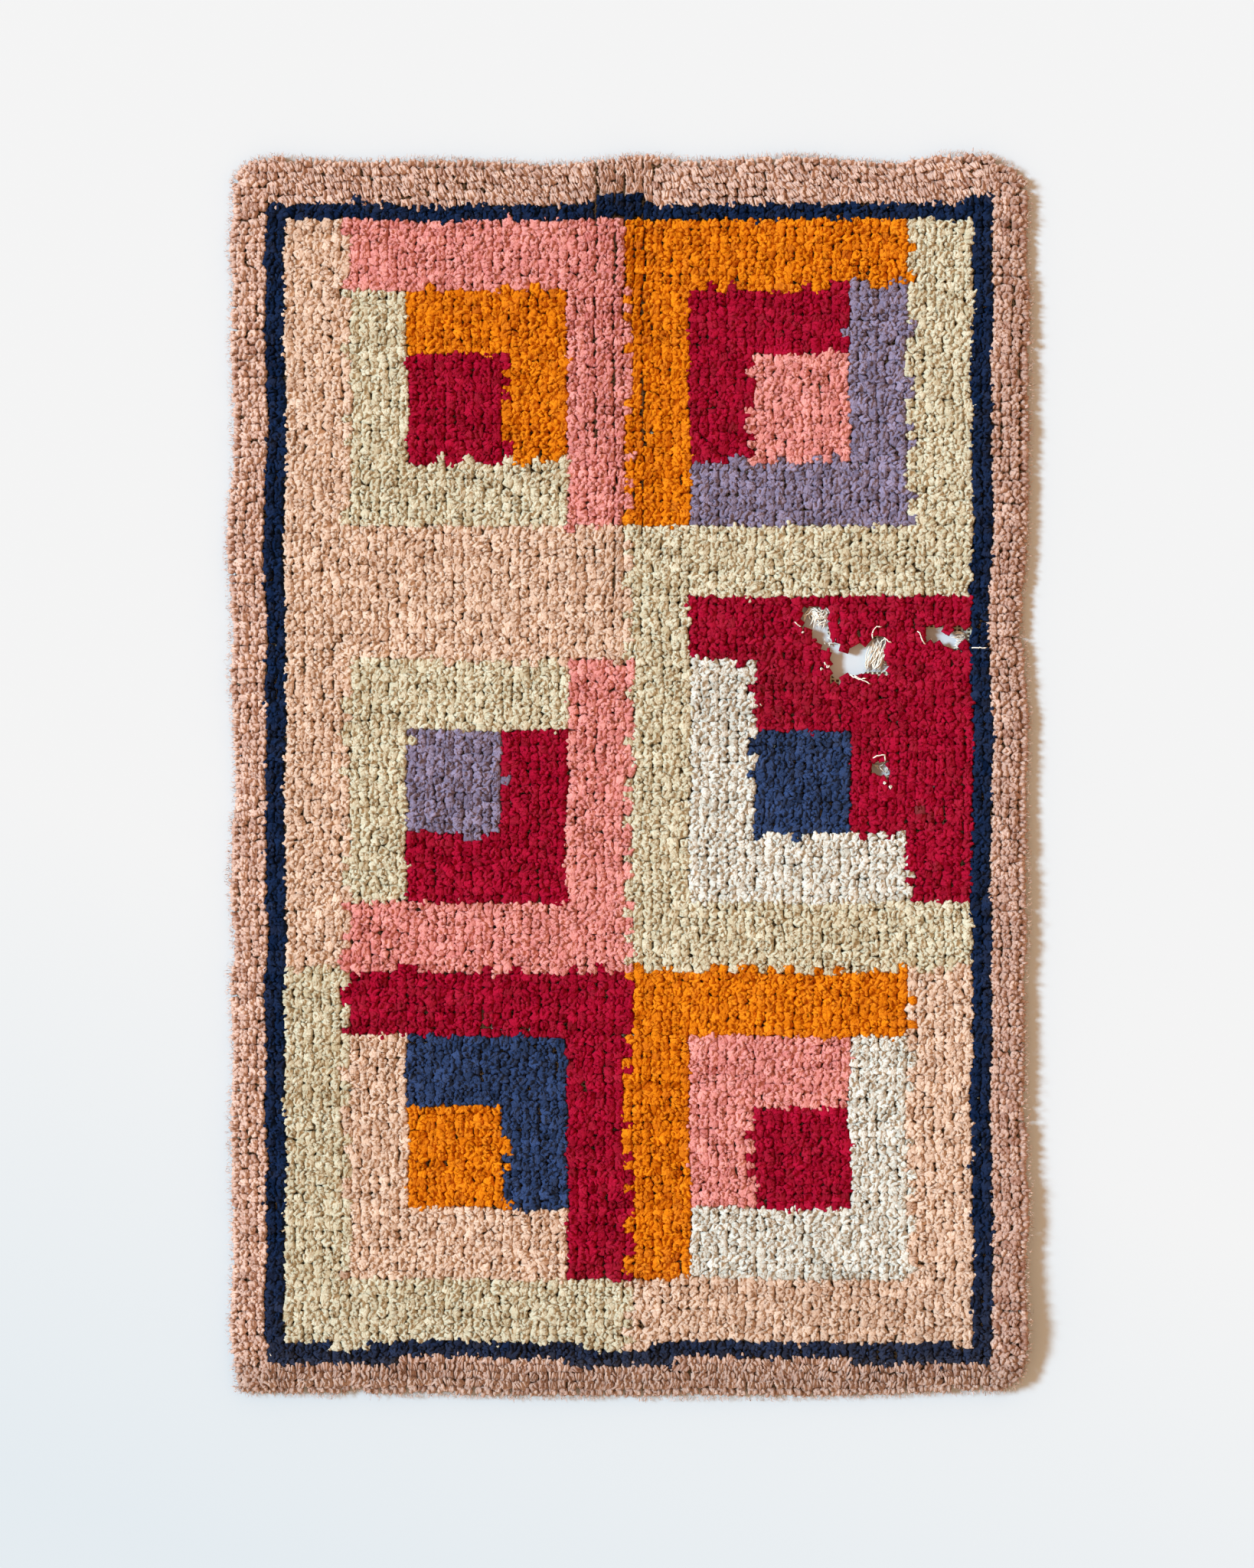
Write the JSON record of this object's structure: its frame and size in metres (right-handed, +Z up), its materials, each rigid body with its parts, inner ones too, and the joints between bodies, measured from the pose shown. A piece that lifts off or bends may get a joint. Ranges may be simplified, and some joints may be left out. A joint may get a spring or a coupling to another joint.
{
  "type": "hooked rug",
  "caption": "Small rectangular hooked wool rug with a thick uneven pile, a plain border and an inner line, worn through in a few places, lying flat.",
  "frame": {"origin": "centre of the rug's underside, on the floor", "axes": "+X along the rug's width, +Y along its length towards the end with the old fold, +Z up through the pile"},
  "size_m": [0.6607, 1.021, 0.0221],
  "materials": {
    "canvas": "matte",
    "border_wool": "matte",
    "navy_wool": "matte",
    "blue_wool": "matte",
    "crimson_wool": "matte",
    "orange_wool": "matte",
    "cream_wool": "matte",
    "peach_wool": "matte",
    "salmon_wool": "matte",
    "lavender_wool": "matte",
    "white_wool": "matte"
  },
  "bodies": {
    "root": {"canvas": "canvas", "pile": "border_wool"}
  },
  "joints": []
}
